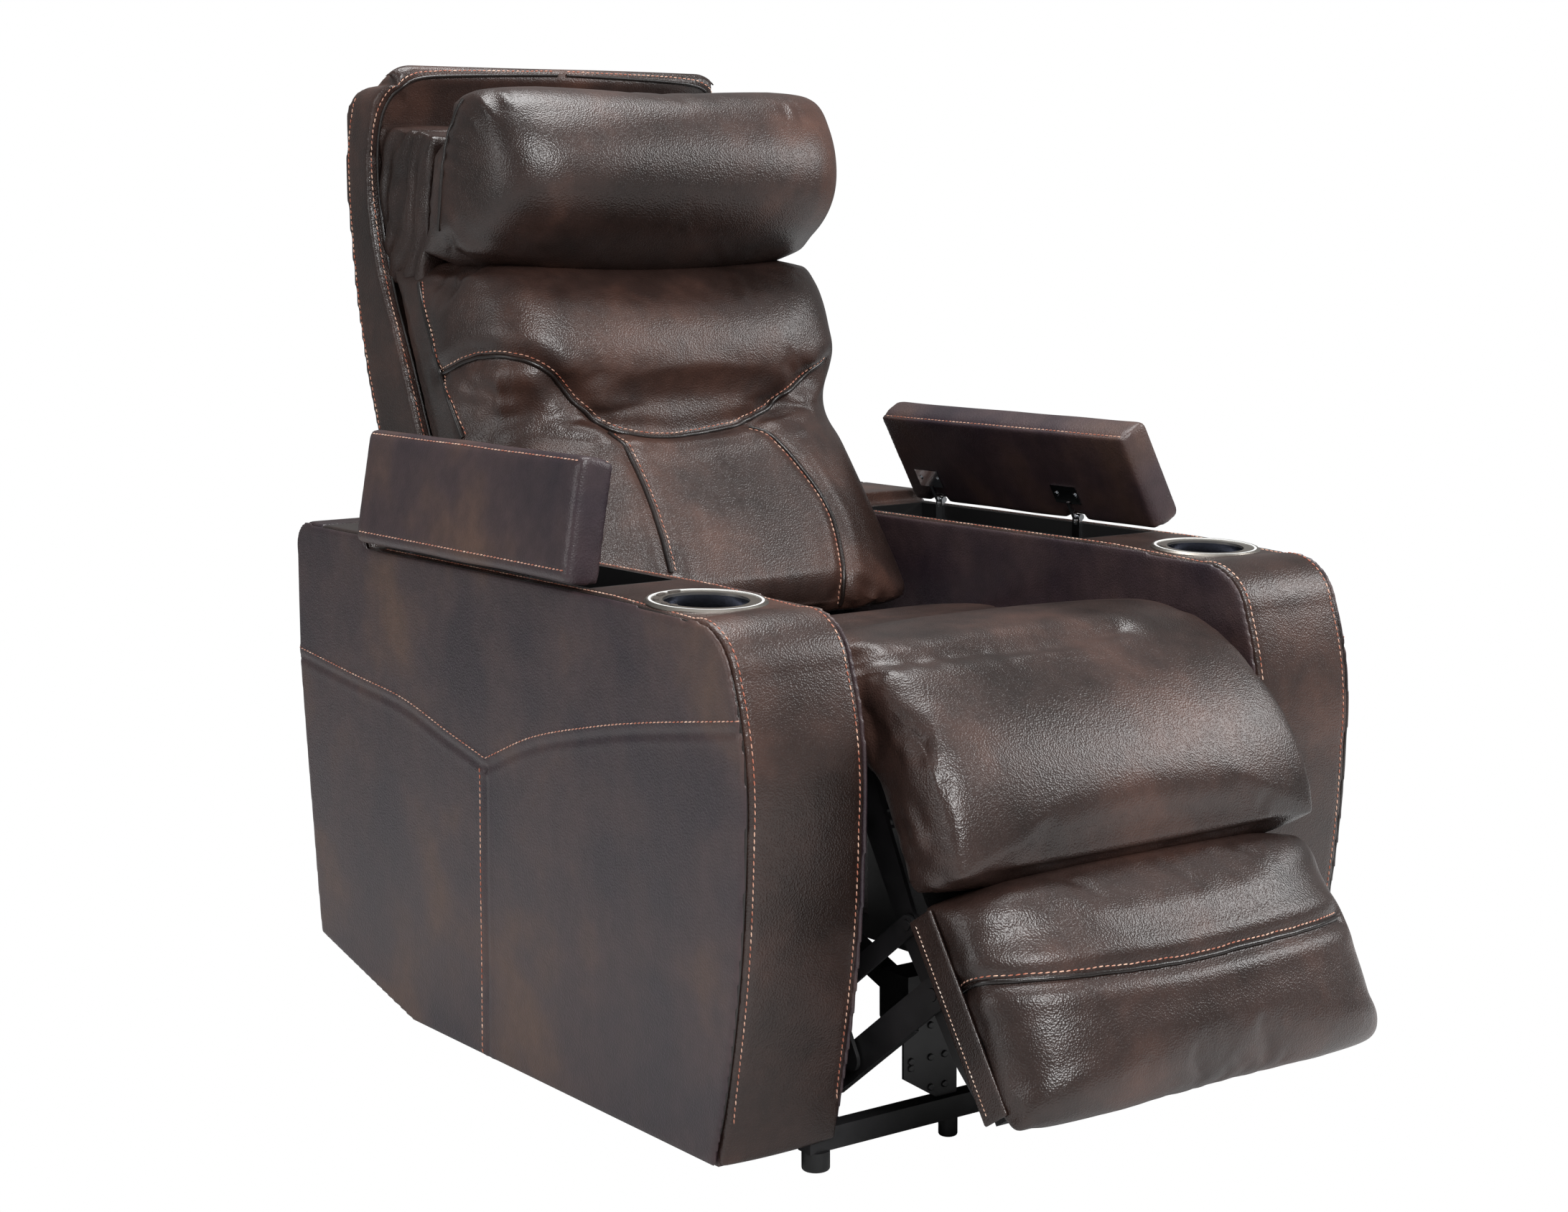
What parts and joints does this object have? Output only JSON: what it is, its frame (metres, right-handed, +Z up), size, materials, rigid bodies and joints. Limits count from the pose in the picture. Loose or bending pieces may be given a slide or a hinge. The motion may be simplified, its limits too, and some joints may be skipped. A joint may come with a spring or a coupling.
{
  "type": "cinema recliner seat",
  "caption": "Leather cinema recliner with lift-up armrest lids over storage, lit cup holders, powered footrest, reclining back and tilting headrest",
  "frame": {"origin": "floor level, at the middle of the footprint with the footrest part open as in the picture", "axes": "+Z up, -Y out of the front of the seat, +X to the right as seen from the front"},
  "size_m": [0.8289, 1.2726, 1.096],
  "materials": {
    "brown_leather": "semi-gloss pebble-grained",
    "black_steel": "black powder coat",
    "black_plastic": "moulded, matt",
    "black_fabric": "non-woven dust cover",
    "spring_steel": "drawn wire",
    "chrome": "plated",
    "satin_nickel": "satin nickel plate",
    "dark_nickel": "dark nickel, semi-gloss",
    "white_plastic": "translucent",
    "key_plastic": "smooth",
    "plywood": "unfinished"
  },
  "bodies": {
    "base": {"base_frame": "black_steel", "glide_feet": "black_plastic", "mechanism_plates": "black_steel", "seat_frame": "black_steel", "seat_springs": "spring_steel", "seat_rear_cushion": "brown_leather", "seat_front_cushion": "brown_leather", "bridge_pad": "brown_leather", "motor_bracket": "black_steel", "power_inlet": "black_plastic", "arm_rear_boards": "brown_leather", "arm_bottom_boards": "plywood", "lid_hinge_feet": "chrome", "footrest_actuator": "black_plastic", "back_actuator": "black_plastic", "arm_outer_panel_left": "brown_leather", "arm_inner_panel_left": "brown_leather", "arm_front_board_left": "brown_leather", "arm_top_board_left": "brown_leather", "storage_box_left": "black_plastic", "cup_flange_left": "satin_nickel", "cup_light_ring_left": "white_plastic", "cup_liner_left": "dark_nickel", "arm_outer_panel_right": "brown_leather", "arm_inner_panel_right": "brown_leather", "arm_front_board_right": "brown_leather", "arm_top_board_right": "brown_leather", "storage_box_right": "black_plastic", "cup_flange_right": "satin_nickel", "cup_light_ring_right": "white_plastic", "cup_liner_right": "dark_nickel"},
    "footrest": {"footrest_brackets": "black_steel", "footrest_board": "black_fabric", "footrest_pad": "brown_leather"},
    "crank": {"crank_links": "black_steel", "torque_tube": "black_steel"},
    "front_crank": {"front_cranks": "black_steel"},
    "channel": {"channel_links": "black_steel"},
    "rod": {"upper_rods": "black_steel"},
    "footrest_carriage": {"footrest_carriage": "black_steel"},
    "back": {"back_shell": "brown_leather", "back_brackets": "black_steel", "back_cushion": "brown_leather", "headrest_gusset": "brown_leather", "headrest_brackets": "black_steel"},
    "headrest": {"headrest_cushion": "brown_leather", "headrest_hinge_arms": "black_steel"},
    "back_rod": {"back_rod": "spring_steel"},
    "lid_left": {"lid_board_left": "brown_leather", "lid_pad_left": "brown_leather", "lid_hinge_arms_left": "chrome"},
    "lid_right": {"lid_board_right": "brown_leather", "lid_pad_right": "brown_leather", "lid_hinge_arms_right": "chrome"},
    "left_oval_key_front": {"left_oval_key_front": "key_plastic"},
    "left_oval_key_rear": {"left_oval_key_rear": "key_plastic"},
    "left_long_key_1": {"left_long_key_1": "key_plastic"},
    "left_long_key_2": {"left_long_key_2": "key_plastic"},
    "left_long_key_3": {"left_long_key_3": "key_plastic"},
    "right_long_key": {"right_long_key": "key_plastic"}
  },
  "joints": [
    {"name": "footrest_hinge", "type": "hinge", "parent": "base", "child": "footrest", "pos_m": [0, -0.34484, 0.418], "axis": [-1, 0, 0], "range_deg": [-29.5, 51], "deforming": ["bridge_pad"]},
    {"name": "crank_hinge", "type": "hinge", "parent": "base", "child": "crank", "pos_m": [0, -0.17584, 0.287], "axis": [-1, 0, 0], "range_deg": [-29.5, 51]},
    {"name": "front_crank_hinge", "type": "hinge", "parent": "base", "child": "front_crank", "pos_m": [0, -0.22654, 0.3263], "axis": [-1, 0, 0], "range_deg": [-29.5, 51]},
    {"name": "channel_hinge", "type": "hinge", "parent": "crank", "child": "channel", "pos_m": [0, -0.29984, 0.065], "axis": [-1, 0, 0], "range_deg": [-51, 29.5]},
    {"name": "rod_hinge", "type": "hinge", "parent": "crank", "child": "rod", "pos_m": [0, -0.26142, 0.12352], "axis": [-1, 0, 0], "range_deg": [-51, 29.5]},
    {"name": "footrest_drive", "type": "slide", "parent": "base", "child": "footrest_carriage", "axis": [0, -0.9397, -0.342], "range_m": [-0.02394, 0.04139]},
    {"name": "recline_hinge", "type": "hinge", "parent": "base", "child": "back", "pos_m": [0, 0.19516, 0.36], "axis": [-1, 0, 0], "range_deg": [0, 30]},
    {"name": "headrest_hinge", "type": "hinge", "parent": "back", "child": "headrest", "pos_m": [0, 0.49716, 0.866], "axis": [-1, 0, 0], "range_deg": [0, 20], "deforming": ["headrest_gusset"]},
    {"name": "recline_drive", "type": "slide", "parent": "base", "child": "back_rod", "axis": [0, 0, -1], "range_m": [0, 0.03702]},
    {"name": "lid_left_hinge", "type": "hinge", "parent": "base", "child": "lid_left", "pos_m": [-0.38, 0.09516, 0.56], "axis": [0, -1, 0], "range_deg": [-80, 10]},
    {"name": "lid_right_hinge", "type": "hinge", "parent": "base", "child": "lid_right", "pos_m": [0.38, 0.09516, 0.56], "axis": [0, 1, 0], "range_deg": [-62, 28]},
    {"name": "left_oval_key_front_press", "type": "slide", "parent": "base", "child": "left_oval_key_front", "axis": [0, 0.0468, -0.9989], "range_m": [0, 0.0008], "stiffness_N_per_m": 400, "springref_m": -0.001},
    {"name": "left_oval_key_rear_press", "type": "slide", "parent": "base", "child": "left_oval_key_rear", "axis": [0, 0.0468, -0.9989], "range_m": [0, 0.0008], "stiffness_N_per_m": 400, "springref_m": -0.001},
    {"name": "left_long_key_1_press", "type": "slide", "parent": "base", "child": "left_long_key_1", "axis": [0, 0.0468, -0.9989], "range_m": [0, 0.0008], "stiffness_N_per_m": 400, "springref_m": -0.001},
    {"name": "left_long_key_2_press", "type": "slide", "parent": "base", "child": "left_long_key_2", "axis": [0, 0.0468, -0.9989], "range_m": [0, 0.0008], "stiffness_N_per_m": 400, "springref_m": -0.001},
    {"name": "left_long_key_3_press", "type": "slide", "parent": "base", "child": "left_long_key_3", "axis": [0, 0.0468, -0.9989], "range_m": [0, 0.0008], "stiffness_N_per_m": 400, "springref_m": -0.001},
    {"name": "right_long_key_press", "type": "slide", "parent": "base", "child": "right_long_key", "axis": [0, 0.0468, -0.9989], "range_m": [0, 0.0008], "stiffness_N_per_m": 400, "springref_m": -0.001}
  ],
  "couplings": [
    {"joint": "crank_hinge", "follows": "footrest_hinge", "ratio": 1},
    {"joint": "front_crank_hinge", "follows": "footrest_hinge", "ratio": 1},
    {"joint": "channel_hinge", "follows": "footrest_hinge", "ratio": -1},
    {"joint": "rod_hinge", "follows": "footrest_hinge", "ratio": -1},
    {"joint": "footrest_drive", "follows": "footrest_hinge", "m_per_rad": 0.0465},
    {"joint": "recline_drive", "follows": "recline_hinge", "m_per_rad": 0.0707}
  ]
}
